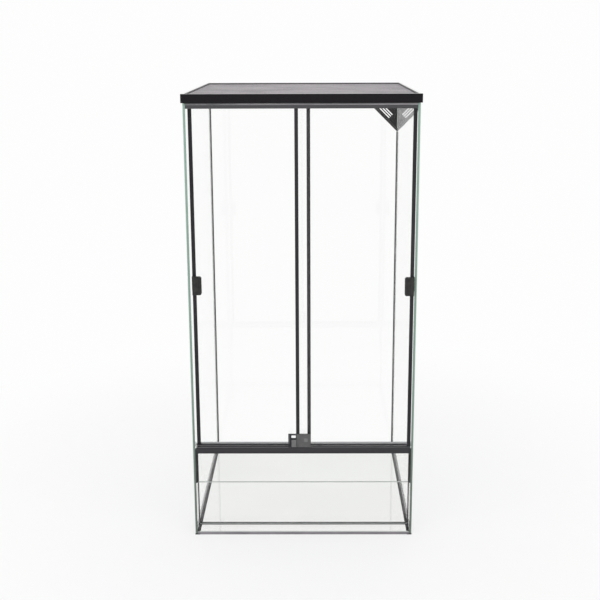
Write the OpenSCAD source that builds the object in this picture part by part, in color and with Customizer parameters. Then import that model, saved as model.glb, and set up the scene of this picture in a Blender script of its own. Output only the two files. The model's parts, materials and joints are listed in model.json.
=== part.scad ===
// Tall glass reptile terrarium with two sliding front doors, a raised front
// air duct and a lift-off mesh lid. Millimetres, +Z up. The origin is the
// centre of the footprint, on the surface that the terrarium stands on.

/* [Tank] */
// Outside width of the glass box
tank_w = 450; // [380:10:620]
// Outside depth of the glass box
tank_d = 450; // [340:10:620]
// Height of the top edge of the glass above the ground
tank_h = 890; // [600:10:1200]
// Thickness of the fixed panes
glass_t = 5; // [4:0.5:8]
// Thickness of the rubber strips under the glass
base_strip_t = 2; // [1:0.5:4]
// Width of the rubber strips under the side panes
side_strip_w = 10; // [8:1:20]
// Width of the rubber strip under the rear pane
rear_strip_w = 15; // [10:1:40]
// Thickness of the dark strip on the floor pane's front edge
edge_strip_t = 1; // [0.5:0.1:2]
// How far up the floor pane's edge that strip reaches
edge_strip_reach = 3.3; // [2:0.1:4]
// Gap between that strip and the ground
edge_strip_lift = 0.3; // [0.1:0.1:0.8]
// Leg of the silicone beads along the upright corners
corner_bead = 2.5; // [2:0.5:6]
// Leg of the silicone beads round the inner front pane
inner_bead = 1.5; // [1:0.5:4]
// Leg of the silicone beads along the sides of the floor
floor_bead = 4; // [2:0.5:8]
// Leg of the silicone bead along the rear of the floor
rear_bead = 1.5; // [1:0.5:5]

/* [Front] */
// Distance from the front face back to the inner front pane
inner_pane_setback = 31; // [30:0.5:60]
// Height of the lower edge of the outer front pane
outer_pane_bottom = 116; // [60:1:140]
// Height of the top of the bottom rail, where the doors begin
sill_h = 195; // [170:1:260]
// Width of the silicone joint at each end of the outer front pane
end_joint = 2.5; // [1:0.5:5]
// Thickness of the perforated vent strip behind the bottom rail
vent_t = 1; // [0.8:0.1:2]
// How far the vent strip lies below the top of the bottom rail
vent_drop = 3.5; // [0:0.5:5]
// Length of one vent slot, from front to back
vent_slot_l = 5; // [3:0.5:7]
// Width of one vent slot
vent_slot_w = 3; // [2:0.5:4]
// Distance from one vent slot to the next
vent_pitch = 6; // [5:0.5:10]

/* [Door rails] */
// Depth of the rails from front to back
rail_d = 20; // [17:0.5:24]
// Height of the bottom rail
bottom_rail_h = 14; // [11:0.5:20]
// Height of the top rail
top_rail_h = 10.5; // [8:0.5:16]
// Thickness of the rail walls and of the web between the channels
rail_wall = 2; // [1.5:0.1:2.5]
// Running gap between the seals and the walls of a channel
channel_play = 0.5; // [0.3:0.1:1]
// Depth of the channels in the bottom rail
bottom_channel = 4.5; // [3:0.5:6]
// Thickness of metal above the channels in the top rail
top_rail_roof = 2; // [1.5:0.1:3]
// Depth of the slot under the bottom rail that grips the outer front pane
pane_slot = 4; // [2:0.5:6]
// Width of the ledge that carries the front of the vent strip
ledge_w = 4; // [3:0.5:6]
// Thickness of that ledge
ledge_t = 1.5; // [1:0.1:3]
// Height of the raised nose along the top rail's face
nose_h = 3.5; // [2:0.5:5]
// Depth by which the face below the nose is set back
nose_step = 0.8; // [0.4:0.1:1.2]

/* [Doors] */
// Thickness of the door glass
door_glass_t = 4; // [3:0.5:5]
// Overlap of the two closed doors at the middle
door_overlap = 30; // [20:1:50]
// Gap from the closed left door to the left pane
left_door_gap = 3; // [1:0.5:6]
// Gap from the closed right door to the right pane
right_door_gap = 1; // [1:0.5:6]
// How far the door glass stands into the top rail
door_engage = 2; // [1:0.5:3]
// Width of the seals on the upright door edges, seen from the front
seal_w = 7; // [5:0.5:10]
// Thickness of the seal outside the edge of the glass
seal_wall = 1; // [0.6:0.1:1.2]
// Running gap under the glides and round other sliding pieces
slide_gap = 0.3; // [0.2:0.05:0.6]
// Thickness of the glide under the glass
glide_t = 1.2; // [0.8:0.1:2]
// Length of one glide
glide_l = 20; // [10:1:40]
// Height of the glide's side walls up the glass
glide_side = 3; // [1:0.5:5]
// Distance from the door's edge to its glide
glide_inset = 15; // [9:1:40]

/* [Door grips] */
// Width of a grip
grip_w = 18; // [12:1:30]
// Height of a grip
grip_h = 37; // [25:1:60]
// Thickness of a grip
grip_t = 8; // [6:0.5:12]
// Corner radius of a grip, seen from the front
grip_r = 3.5; // [1:0.5:5]
// Height of the middle of the grips above the ground
grip_z = 533; // [400:1:600]
// Depth of the finger groove in a grip
grip_groove = 2; // [1:0.5:3]
// Radius of the finger groove
groove_r = 4.4; // [2.5:0.1:6]
// Distance from the door's edge to the middle of the finger groove
groove_x = 10.8; // [7:0.1:14]
// Thickness of the lip that hooks a grip round the door's edge
grip_lip = 0.6; // [0.3:0.1:0.7]
// Height of that lip, from the top of the grip down
grip_lip_h = 28; // [15:1:30]

/* [Lock] */
// Width of the lock plate on the right door
lock_plate_w = 29.5; // [24:0.5:40]
// Height of the lock
lock_h = 28; // [24:0.5:40]
// Thickness of the lock plate in front of the door seal
lock_t = 4; // [3:0.5:6]
// Gap between the bottom rail and the lock
lock_lift = 0.6; // [0.3:0.1:2]
// Width of the lock's arm, beside the plate
lock_arm_w = 16.5; // [15:0.5:24]
// Depth of the lock's arm from front to back
lock_arm_d = 9.5; // [8:0.5:9.5]
// Width of the arm's left post
lock_post_w = 6.5; // [4:0.5:8]
// Height of the bars above and below the padlock eye
lock_bar_h = 2.7; // [2:0.1:4]
// Height of the padlock eye
lock_eye_h = 6.5; // [5:0.5:10]
// Width of the push bolt's shank
bolt_w = 7.5; // [6:0.5:10]
// Height of the push bolt's shank
bolt_h = 13.5; // [9:0.5:14]
// How far the push bolt's head is wider than its shank on each side
bolt_lip = 1; // [0.6:0.1:1.2]
// Thickness of the push bolt's head
bolt_head_t = 1.5; // [1:0.1:3]
// Stroke of the push bolt
bolt_stroke = 2.5; // [1.5:0.1:2.5]
// Gap between the open push bolt and the strike plate
bolt_gap = 0.9; // [0.5:0.1:1.2]
// Thickness of the strike plate on the left door
strike_t = 3; // [2:0.5:3]
// Width of metal beside and below the strike plate's notch
strike_rim = 3; // [2:0.5:5]
// Height of the push bolt that the strike plate's notch takes in
strike_h = 8; // [5:0.5:13]
// Play of the push bolt in the strike plate's notch
strike_play = 0.4; // [0.2:0.1:1]

/* [Lid] */
// Height of the lid frame
lid_h = 17; // [14:0.5:30]
// Width of the lid frame's bars, seen from above
lid_bar_w = 10; // [9:0.5:16]
// How far the lid stands out past the glass
lid_overhang = 3; // [1:0.5:6]
// Wall thickness of the lid's hollow bars
lid_wall = 1.5; // [1:0.1:2]
// Width of the rebate that holds the mesh
rebate_w = 3.5; // [3:0.5:5]
// Depth of that rebate
rebate_d = 3; // [2.5:0.5:4]
// Thickness of the mesh
mesh_t = 0.6; // [0.4:0.1:1]
// Width of the cord that holds the mesh
spline_w = 2.4; // [1.5:0.1:3]
// Height of that cord
spline_h = 1.8; // [1:0.1:2]
// Gap between the glass and the lid that rests on it
lid_gap = 0.3; // [0.2:0.1:1]
// Length of one leg of the keys inside the lid's corners
key_leg = 28; // [15:1:45]
// Play of the keys in the lid's bars
key_play = 0.1; // [0.05:0.05:0.3]
// Length of the locating blocks under the lid
locator_l = 30; // [15:1:50]
// Thickness of the locating blocks
locator_t = 3.5; // [2:0.5:6]
// How far the locating blocks hang down inside the glass
locator_drop = 8; // [5:0.5:15]
// Distance from the tank's middle to the locating blocks at the sides
locator_offset = 110; // [60:5:130]
// Distance from the tank's middle to the locating blocks at the rear
rear_locator_offset = 80; // [40:5:100]

/* [Cable port] */
// Leg of the triangular cover in the rear corner
cover_leg = 96; // [80:1:120]
// Overlap of the cover on the glass round the port
cover_overlap = 5; // [4:0.5:6]
// Thickness of the cover's flange
cover_t = 2.5; // [2:0.1:4]
// Gap between the port's cut edge and the cover's rim
plug_gap = 0.6; // [0.3:0.1:1]
// Gap round the cover at the side pane and below the lid
cover_edge = 0.5; // [0.3:0.1:1]
// How far the ridge by which the cover is pulled off stands out
ridge_h = 2.7; // [2:0.1:5]
// Width of that ridge
ridge_w = 4; // [3:0.5:6]
// Length of that ridge
ridge_l = 50; // [20:5:60]
// Distance from the cover's long edge to that ridge
ridge_edge = 1; // [0.5:0.5:3]
// Wall of the rim that fills the port
plug_wall = 2; // [1:0.5:2]
// Distance from the cover's long edge to the first vent slot
cover_slot_edge = 9.7; // [9:0.1:14]
// Distance from one of the cover's slots to the next
cover_slot_pitch = 5; // [4:0.5:8]
// Length of the cover's slots
cover_slot_l = 65; // [30:1:70]
// Width of the cover's slots
cover_slot_w = 2.5; // [1.5:0.5:3]
// Number of the cover's slots
cover_slots = 3; // [1:1:4]

/* [Hidden] */
$fn = 48;
// How far a cut runs past the face that it opens
over = 1;

half_w = tank_w / 2;
half_d = tank_d / 2;
in_x = half_w - glass_t;
front_y = -half_d;
rear_in_y = half_d - glass_t;
floor_z = base_strip_t + glass_t;

// Front: duct panes and rails
strip_in_x = half_w - side_strip_w;
inner_pane_y = front_y + inner_pane_setback;
inner_pane_rear = inner_pane_y + glass_t;
outer_pane_y = front_y + rail_wall;
rail_z = sill_h - bottom_rail_h;
top_rail_z = tank_h - top_rail_h;
channel_w = (rail_d - 3 * rail_wall) / 2;
front_channel_y = front_y + rail_wall + channel_w / 2;
rear_channel_y = front_channel_y + channel_w + rail_wall;
rail_half = in_x - end_joint;
vent_z = sill_h - vent_drop - vent_t;

// Doors: the left one runs in the rear channel, the right one in the front channel
left_door_x = -in_x + left_door_gap;
right_door_end = in_x - right_door_gap;
door_w = (right_door_end - left_door_x + door_overlap) / 2;
right_door_x = right_door_end - door_w;
door_z = sill_h - bottom_channel + slide_gap + glide_t;
door_top = top_rail_z + door_engage;
seal_d = channel_w - 2 * channel_play;
seal_face = (seal_d - door_glass_t) / 2;

// Lock, on the right door's lower left corner
seal_front = front_channel_y - seal_d / 2;
lock_z = sill_h + lock_lift;
lock_plate_x = right_door_x + seal_wall / 2;
lock_left = lock_plate_x - lock_arm_w;
lock_front = seal_front - lock_t;
lock_back = lock_front + lock_arm_d;
eye_x = lock_left + lock_post_w;
eye_w = lock_arm_w - lock_post_w;
eye_z = lock_z + lock_h - lock_bar_h - lock_eye_h;
bolt_x = eye_x + (eye_w - bolt_w) / 2;
bolt_z = lock_z + (eye_z - lock_z - bolt_h) / 2;
bolt_head_y = lock_front - bolt_stroke - bolt_head_t;
left_glass_front = rear_channel_y - door_glass_t / 2;
strike_front = left_glass_front - strike_t;
bolt_back = strike_front - bolt_gap;

// Lid
lid_z = tank_h + lid_gap;
lid_x = half_w + lid_overhang;
lid_y = half_d + lid_overhang;
rebate_z = lid_h - rebate_d;
chamber_w = lid_bar_w - 2 * lid_wall;
chamber_h = rebate_z - 2 * lid_wall;
mesh_x = lid_x - lid_bar_w + rebate_w;
mesh_y = lid_y - lid_bar_w + rebate_w;

// Cable port in the rear pane's right top corner
port_leg = cover_leg - cover_overlap * sqrt(2);
plug_leg = port_leg - plug_gap * sqrt(2) - 2 * cover_edge;
plug_hollow = plug_leg - plug_wall * (2 + sqrt(2));

// A box given by its lowest and highest corners
module span(low, high) {
    translate(low) cube(high - low);
}

// A triangular bead that runs up from a corner at the origin, legs along +X and +Y
module bead(leg, length) {
    linear_extrude(length) polygon([[0, 0], [leg, 0], [0, leg]]);
}

// An outline in the (depth, height) plane, extruded along X about the middle
module along_x(length) {
    translate([-length / 2, 0, 0])
        rotate([90, 0, 90])
            linear_extrude(length) children();
}

// ---------------------------------------------------------------- tank glass

module side_pane(sign) {
    color([0.78, 0.9, 0.86, 0.3])
        span([min(sign * half_w, sign * in_x), front_y, base_strip_t],
            [max(sign * half_w, sign * in_x), half_d, tank_h]);
}

module left_pane() {
    side_pane(-1);
}

module right_pane() {
    side_pane(1);
}

// The rear pane lacks its right top corner, where the cable cover goes
module rear_pane() {
    color([0.78, 0.9, 0.86, 0.3])
        translate([0, half_d, 0])
            rotate([90, 0, 0])
                linear_extrude(glass_t)
                    polygon([[-in_x, base_strip_t], [in_x, base_strip_t],
                        [in_x, tank_h - port_leg], [in_x - port_leg, tank_h],
                        [-in_x, tank_h]]);
}

module floor_pane() {
    color([0.78, 0.9, 0.86, 0.3])
        span([-in_x, front_y + edge_strip_t, base_strip_t],
            [in_x, rear_in_y, floor_z]);
}

module inner_front_pane() {
    color([0.78, 0.9, 0.86, 0.3])
        span([-in_x, inner_pane_y, floor_z], [in_x, inner_pane_rear, vent_z]);
}

module outer_front_pane() {
    color([0.78, 0.9, 0.86, 0.3])
        span([-rail_half, outer_pane_y, outer_pane_bottom],
            [rail_half, outer_pane_y + glass_t, rail_z + pane_slot]);
}

// ------------------------------------------------------- silicone and rubber

// Upright beads in the two rear corners; the right one ends below the cable port
module corner_silicone() {
    bead_z = floor_z + floor_bead;
    color([0.1, 0.1, 0.1]) {
        translate([-in_x, rear_in_y, bead_z])
            rotate([0, 0, -90]) bead(corner_bead, tank_h - bead_z);
        translate([in_x, rear_in_y, bead_z])
            rotate([0, 0, 180]) bead(corner_bead, tank_h - cover_leg - bead_z);
    }
}

// One side's two floor beads: under the front duct and inside the tank
module floor_side_beads() {
    front_end = inner_pane_y - inner_bead;
    rear_start = inner_pane_rear + inner_bead;
    translate([-in_x, front_end, floor_z])
        rotate([90, 0, 0]) bead(floor_bead, front_end - front_y);
    translate([-in_x, rear_in_y, floor_z])
        rotate([90, 0, 0]) bead(floor_bead, rear_in_y - rear_start);
}

module floor_silicone() {
    rear_half = in_x - floor_bead;
    color([0.1, 0.1, 0.1]) {
        floor_side_beads();
        mirror([1, 0, 0]) floor_side_beads();
        translate([-rear_half, rear_in_y, floor_z])
            rotate([0, 90, 0])
                rotate([0, 0, 180]) bead(rear_bead, 2 * rear_half);
    }
}

// Beads along the foot and the ends of the inner front pane, on both its faces
module inner_front_silicone() {
    foot_half = in_x - inner_bead;
    bead_top = vent_z - ledge_t;
    color([0.1, 0.1, 0.1])
        for (side = [0, 1]) {
            face = side == 0 ? inner_pane_y : inner_pane_rear;
            spin = side == 0 ? 180 : 90;
            translate([-foot_half, face, floor_z])
                rotate([0, 90, 0])
                    rotate([0, 0, spin]) bead(inner_bead, 2 * foot_half);
            for (end = [0, 1])
                mirror([end, 0, 0])
                    translate([-in_x, face, floor_z])
                        rotate([0, 0, side == 0 ? -90 : 0])
                            bead(inner_bead, bead_top - floor_z);
        }
}

// Silicone that fills the joints between the outer front pane and the side panes
module outer_front_silicone() {
    color([0.1, 0.1, 0.1])
        for (end = [0, 1])
            mirror([end, 0, 0])
                span([rail_half, front_y, outer_pane_bottom],
                    [in_x, outer_pane_y + glass_t, sill_h - bottom_channel]);
}

// Rubber strips under the side panes and the rear pane, open at the front
module base_strips() {
    color([0.08, 0.08, 0.08])
        linear_extrude(base_strip_t)
            difference() {
                square([tank_w, tank_d], center = true);
                translate([-strip_in_x, -tank_d])
                    square([2 * strip_in_x, tank_d + half_d - rear_strip_w]);
            }
}

// Dark edging glued to the floor pane's front edge; it hangs between the side strips
module floor_edge_strip() {
    strip_back = front_y + edge_strip_t;
    color([0.15, 0.15, 0.15])
        union() {
            span([-in_x, front_y, base_strip_t],
                [in_x, strip_back, base_strip_t + edge_strip_reach]);
            span([-strip_in_x, front_y, edge_strip_lift],
                [strip_in_x, strip_back, base_strip_t + over]);
        }
}

// --------------------------------------------------------------------- rails

// Twin-channel rail; its foot grips the outer front pane, its ledge the vent strip
module bottom_rail() {
    color([0.15, 0.15, 0.16])
        translate([0, front_y, rail_z])
            along_x(2 * rail_half)
                difference() {
                    union() {
                        square([rail_d, bottom_rail_h]);
                        translate([rail_d, bottom_rail_h - vent_drop - vent_t - ledge_t])
                            square([ledge_w, ledge_t]);
                    }
                    for (i = [0, 1])
                        translate([rail_wall + i * (channel_w + rail_wall),
                                bottom_rail_h - bottom_channel])
                            square([channel_w, bottom_channel + over]);
                    translate([rail_wall, -over])
                        square([glass_t, pane_slot + over]);
                }
}

module top_rail() {
    color([0.2, 0.2, 0.21])
        translate([0, front_y, top_rail_z])
            along_x(2 * in_x)
                difference() {
                    square([rail_d, top_rail_h]);
                    translate([-over, -over])
                        square([nose_step + over, top_rail_h - nose_h + over]);
                    for (i = [0, 1])
                        translate([rail_wall + i * (channel_w + rail_wall), -over])
                            square([channel_w, top_rail_h - top_rail_roof + over]);
                }
}

// Perforated metal strip that lets air from the duct into the tank
module vent_strip() {
    vent_y = front_y + rail_d;
    vent_d = inner_pane_rear - vent_y;
    slot_y = ledge_w + (vent_d - ledge_w - glass_t - vent_slot_l) / 2;
    count = floor((2 * rail_half - vent_pitch) / vent_pitch);
    color([0.6, 0.61, 0.62])
        translate([0, vent_y, vent_z])
            linear_extrude(vent_t)
                difference() {
                    translate([-rail_half, 0]) square([2 * rail_half, vent_d]);
                    for (i = [0 : count - 1])
                        translate([(i - (count - 1) / 2) * vent_pitch - vent_slot_w / 2,
                                slot_y])
                            square([vent_slot_w, vent_slot_l]);
                }
}

// --------------------------------------------------------------------- doors

// Glass, seals, glides and grips are drawn for a door whose left edge is at x = 0
// and whose glass is centred on y = 0

module door_glass() {
    color([0.8, 0.9, 0.87, 0.25])
        span([seal_wall, -door_glass_t / 2, door_z],
            [door_w - seal_wall, door_glass_t / 2, door_top]);
}

// U-shaped seal that wraps the left edge of the glass
module door_seal() {
    color([0.1, 0.1, 0.1])
        translate([0, 0, door_z])
            linear_extrude(door_top - door_z)
                difference() {
                    translate([0, -seal_d / 2]) square([seal_w, seal_d]);
                    translate([seal_wall, -door_glass_t / 2])
                        square([seal_w, door_glass_t]);
                }
}

module door_glides() {
    color([0.85, 0.85, 0.83])
        for (x = [glide_inset, door_w - glide_inset - glide_l])
            translate([x, 0, door_z - glide_t])
                difference() {
                    translate([0, -seal_d / 2, 0])
                        cube([glide_l, seal_d, glide_t + glide_side]);
                    translate([-over, -door_glass_t / 2, glide_t])
                        cube([glide_l + 2 * over, door_glass_t, glide_side + over]);
                }
}

// Rounded block with a finger groove, for a door's left edge. Its back lies on y = 0
// and its lip hooks round the seal
module grip() {
    color([0.12, 0.12, 0.12])
        translate([0, 0, grip_z - grip_h / 2]) {
            translate([-grip_lip, -grip_t / 2, grip_h - grip_lip_h])
                cube([grip_lip, grip_t / 2 + seal_d / 2, grip_lip_h]);
            difference() {
                rotate([90, 0, 0])
                    linear_extrude(grip_t)
                        union() {
                            square([grip_w - grip_r, grip_h]);
                            translate([0, grip_r])
                                square([grip_w, grip_h - 2 * grip_r]);
                            for (z = [grip_r, grip_h - grip_r])
                                translate([grip_w - grip_r, z]) circle(grip_r);
                        }
                translate([groove_x, -grip_t - groove_r + grip_groove, groove_r])
                    cylinder(r = groove_r, h = grip_h - 2 * groove_r);
            }
        }
}

// Adhesive pad that fills the step between the seal's face and the glass
module grip_pad() {
    color([0.3, 0.3, 0.3])
        span([seal_w, -seal_face, grip_z - grip_h / 2 + grip_r],
            [grip_w - grip_r / 2, 0, grip_z + grip_h / 2 - grip_r]);
}

module left_door() {
    translate([left_door_x, rear_channel_y, 0]) children();
}

module right_door() {
    translate([right_door_x, front_channel_y, 0]) children();
}

// Turns a left edge piece into a right edge piece of the same door
module other_edge() {
    translate([door_w, 0, 0]) mirror([1, 0, 0]) children();
}

module on_seal_face() {
    translate([0, -seal_d / 2, 0]) children();
}

module on_glass_face() {
    translate([0, -door_glass_t / 2, 0]) children();
}

module left_door_glass() {
    left_door() door_glass();
}

module left_door_outer_seal() {
    left_door() door_seal();
}

module left_door_inner_seal() {
    left_door() other_edge() door_seal();
}

module left_door_glides() {
    left_door() door_glides();
}

module left_door_grip() {
    left_door() on_seal_face() grip();
}

module left_door_grip_pad() {
    left_door() on_glass_face() grip_pad();
}

module right_door_glass() {
    right_door() door_glass();
}

module right_door_outer_seal() {
    right_door() other_edge() door_seal();
}

module right_door_inner_seal() {
    right_door() door_seal();
}

module right_door_glides() {
    right_door() door_glides();
}

module right_door_grip() {
    right_door() other_edge() on_seal_face() grip();
}

module right_door_grip_pad() {
    right_door() other_edge() on_glass_face() grip_pad();
}

// ---------------------------------------------------------------------- lock

// Plate on the right door, with an arm that reaches over the left door. The arm has
// a padlock eye at the top, where it is as thin as the plate, and guides the push bolt
// below it
module lock_body() {
    color([0.38, 0.38, 0.38])
        difference() {
            union() {
                span([lock_plate_x, lock_front, lock_z],
                    [lock_plate_x + lock_plate_w, seal_front, lock_z + lock_h]);
                span([lock_left, lock_front, lock_z],
                    [lock_plate_x - seal_wall, lock_back, lock_z + lock_h]);
                span([lock_plate_x - seal_wall - over, lock_front, lock_z],
                    [lock_plate_x + over, seal_front, lock_z + lock_h]);
            }
            span([eye_x, lock_front - over, eye_z],
                [lock_plate_x - seal_wall - slide_gap, lock_back + over,
                    eye_z + lock_eye_h]);
            span([lock_left - over, seal_front, bolt_z + bolt_h],
                [lock_plate_x + over, lock_back + over, lock_z + lock_h + over]);
            span([bolt_x - slide_gap, lock_front - over, bolt_z - slide_gap],
                [bolt_x + bolt_w + slide_gap, lock_back + over,
                    bolt_z + bolt_h + slide_gap]);
        }
}

// Adhesive pad behind the lock plate
module lock_pad() {
    color([0.3, 0.3, 0.3])
        span([right_door_x + seal_w, seal_front, lock_z + seal_wall],
            [lock_plate_x + lock_plate_w - seal_wall, seal_front + seal_face,
                lock_z + lock_h - seal_wall]);
}

// Push bolt: its head stands clear of the arm by the stroke
module lock_bolt() {
    color([0.5, 0.5, 0.5]) {
        span([bolt_x, bolt_head_y + bolt_head_t, bolt_z],
            [bolt_x + bolt_w, bolt_back, bolt_z + bolt_h]);
        span([bolt_x - bolt_lip, bolt_head_y, bolt_z - bolt_lip],
            [bolt_x + bolt_w + bolt_lip, bolt_head_y + bolt_head_t,
                bolt_z + bolt_h + bolt_lip]);
    }
}

// Strike plate on the left door's glass, with the notch that the push bolt enters
module lock_strike() {
    notch_x = bolt_x - strike_play;
    notch_end = bolt_x + bolt_w + strike_play;
    strike_top = bolt_z + strike_h;
    color([0.2, 0.2, 0.2])
        difference() {
            span([notch_x - strike_rim, strike_front, lock_z],
                [notch_end + strike_rim, left_glass_front, strike_top]);
            span([notch_x, strike_front - over, bolt_z - strike_play],
                [notch_end, left_glass_front + over, strike_top + over]);
        }
}

// ----------------------------------------------------------------------- lid

// Half outline of a bar's section: x runs inward from the outside face
module lid_section() {
    difference() {
        square([lid_bar_w, lid_h]);
        translate([lid_bar_w - rebate_w, rebate_z]) square([rebate_w + over, rebate_d + over]);
        translate([lid_wall, lid_wall]) square([chamber_w, chamber_h]);
    }
}

// Mitred bar along the lid's front; half is the lid's half width, out its half depth
module lid_bar(half, out) {
    intersection() {
        translate([0, -out, lid_z]) along_x(2 * half) lid_section();
        translate([0, 0, lid_z - over])
            linear_extrude(lid_h + 2 * over)
                polygon([[-half, -out], [half, -out],
                    [half - lid_bar_w, -out + lid_bar_w],
                    [-half + lid_bar_w, -out + lid_bar_w]]);
    }
}

module lid_front_bar() {
    color([0.1, 0.1, 0.11]) lid_bar(lid_x, lid_y);
}

module lid_rear_bar() {
    color([0.1, 0.1, 0.11]) rotate([0, 0, 180]) lid_bar(lid_x, lid_y);
}

module lid_left_bar() {
    color([0.1, 0.1, 0.11]) rotate([0, 0, -90]) lid_bar(lid_y, lid_x);
}

module lid_right_bar() {
    color([0.1, 0.1, 0.11]) rotate([0, 0, 90]) lid_bar(lid_y, lid_x);
}

// Angle keys that sit in the hollow bars and hold the mitred corners together
module lid_corner_keys() {
    key_w = chamber_w - 2 * key_play;
    key_h = chamber_h - 2 * key_play;
    inset = lid_wall + key_play;
    color([0.15, 0.15, 0.15])
        for (sx = [0, 1], sy = [0, 1])
            mirror([sx, 0, 0]) mirror([0, sy, 0])
                translate([lid_x - inset, lid_y - inset, lid_z + inset])
                    mirror([1, 0, 0]) mirror([0, 1, 0]) {
                        linear_extrude(key_h)
                            union() {
                                square([key_leg, key_w]);
                                square([key_w, key_leg]);
                            }
                    }
}

// Woven wire mesh, drawn as a thin sheet
module lid_mesh() {
    color([0.62, 0.62, 0.63])
        translate([0, 0, lid_z + rebate_z])
            linear_extrude(mesh_t)
                square([2 * mesh_x, 2 * mesh_y], center = true);
}

// Cord that presses the mesh into the rebate
module lid_spline() {
    color([0.12, 0.12, 0.12])
        translate([0, 0, lid_z + rebate_z + mesh_t])
            linear_extrude(spline_h)
                difference() {
                    square([2 * mesh_x, 2 * mesh_y], center = true);
                    square([2 * (mesh_x - spline_w), 2 * (mesh_y - spline_w)],
                        center = true);
                }
}

// Blocks inside the frame that keep the lid from sliding off the glass
module lid_locators() {
    face_x = lid_x - lid_bar_w;
    face_y = lid_y - lid_bar_w;
    low = lid_z - locator_drop;
    high = lid_z + rebate_z - lid_wall;
    color([0.12, 0.12, 0.12])
        for (side = [0, 1])
            mirror([side, 0, 0]) {
                for (y = [-locator_offset, locator_offset])
                    span([face_x - locator_t, y - locator_l / 2, low],
                        [face_x, y + locator_l / 2, high]);
                span([rear_locator_offset - locator_l / 2, face_y - locator_t, low],
                    [rear_locator_offset + locator_l / 2, face_y, high]);
            }
}

// ---------------------------------------------------------------- cable port

// Right triangle with its square corner at the origin, legs along -X and -Y
module corner_triangle(leg) {
    polygon([[0, 0], [-leg, 0], [0, -leg]]);
}

// A rectangle along the cover's long edge; its middle line lies edge mm inside it
module along_hypotenuse(edge, size) {
    rotate([0, 0, -45])
        translate([0, edge - cover_leg / sqrt(2)])
            square(size, center = true);
}

// Extrudes an outline of the port's corner from y over a depth, seen from the front
module in_port(y, depth) {
    translate([in_x - cover_edge, y + depth, tank_h - cover_edge])
        rotate([90, 0, 0])
            linear_extrude(depth) children();
}

// One moulding: a slotted flange behind the glass, a rim that fills the port and a
// ridge on the outside to pull it off by
module cable_cover() {
    flange_y = half_d + slide_gap;
    color([0.08, 0.08, 0.08]) {
        in_port(flange_y, cover_t)
            difference() {
                corner_triangle(cover_leg);
                for (i = [0 : cover_slots - 1])
                    along_hypotenuse(cover_slot_edge + i * cover_slot_pitch,
                        [cover_slot_l, cover_slot_w]);
            }
        in_port(rear_in_y + slide_gap, glass_t)
            difference() {
                corner_triangle(plug_leg);
                translate([-plug_wall, -plug_wall]) corner_triangle(plug_hollow);
            }
        in_port(flange_y + cover_t, ridge_h)
            along_hypotenuse(ridge_edge + ridge_w / 2, [ridge_l, ridge_w]);
    }
}

left_pane();
right_pane();
rear_pane();
floor_pane();
inner_front_pane();
outer_front_pane();
corner_silicone();
floor_silicone();
inner_front_silicone();
outer_front_silicone();
base_strips();
floor_edge_strip();
bottom_rail();
top_rail();
vent_strip();
left_door_glass();
left_door_outer_seal();
left_door_inner_seal();
left_door_glides();
left_door_grip();
left_door_grip_pad();
lock_strike();
right_door_glass();
right_door_outer_seal();
right_door_inner_seal();
right_door_glides();
right_door_grip();
right_door_grip_pad();
lock_body();
lock_pad();
lock_bolt();
lid_front_bar();
lid_rear_bar();
lid_left_bar();
lid_right_bar();
lid_corner_keys();
lid_mesh();
lid_spline();
lid_locators();
cable_cover();
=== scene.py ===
"""Looks of a glass reptile terrarium, laid out as a Blender add-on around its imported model."""

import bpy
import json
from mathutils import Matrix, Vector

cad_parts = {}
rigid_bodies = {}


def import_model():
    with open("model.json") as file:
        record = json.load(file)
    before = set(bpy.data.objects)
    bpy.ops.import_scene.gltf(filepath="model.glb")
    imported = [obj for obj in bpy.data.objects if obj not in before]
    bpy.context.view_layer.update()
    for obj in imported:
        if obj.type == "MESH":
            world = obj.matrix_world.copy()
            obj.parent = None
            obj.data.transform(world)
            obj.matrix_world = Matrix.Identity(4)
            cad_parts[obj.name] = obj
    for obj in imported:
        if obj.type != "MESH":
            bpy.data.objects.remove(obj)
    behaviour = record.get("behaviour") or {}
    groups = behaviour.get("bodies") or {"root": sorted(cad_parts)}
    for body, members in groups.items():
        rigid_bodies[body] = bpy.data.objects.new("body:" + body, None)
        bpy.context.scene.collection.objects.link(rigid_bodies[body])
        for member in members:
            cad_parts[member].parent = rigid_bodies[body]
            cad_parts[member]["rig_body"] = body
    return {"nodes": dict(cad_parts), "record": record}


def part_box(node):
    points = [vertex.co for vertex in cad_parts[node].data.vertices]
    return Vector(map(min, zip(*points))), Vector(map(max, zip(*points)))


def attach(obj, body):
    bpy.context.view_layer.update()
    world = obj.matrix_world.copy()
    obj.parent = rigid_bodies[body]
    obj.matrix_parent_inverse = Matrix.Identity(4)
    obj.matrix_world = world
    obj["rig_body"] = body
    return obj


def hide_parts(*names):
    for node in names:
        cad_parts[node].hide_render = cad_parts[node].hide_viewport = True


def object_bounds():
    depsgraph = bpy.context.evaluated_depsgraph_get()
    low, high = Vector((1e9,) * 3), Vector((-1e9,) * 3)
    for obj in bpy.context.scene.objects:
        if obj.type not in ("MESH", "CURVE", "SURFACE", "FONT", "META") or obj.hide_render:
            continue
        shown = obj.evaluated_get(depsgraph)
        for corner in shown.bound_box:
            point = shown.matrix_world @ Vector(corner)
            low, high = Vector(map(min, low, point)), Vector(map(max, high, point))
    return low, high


bl_info = {
    "name": "Glass Terrarium",
    "version": (1, 0, 0),
    "blender": (4, 5, 0),
    "location": "3D View > Sidebar > Terrarium",
    "description": "Panes, sealant, rails, doors, lock, mesh lid and studio of a glass terrarium",
    "category": "Object",
}

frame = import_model()

import json
import math

import bmesh
import bpy
from bpy.props import FloatProperty, FloatVectorProperty, IntProperty, PointerProperty
from bpy.types import Operator, Panel, PropertyGroup
from mathutils import Matrix, Vector, noise

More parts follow.
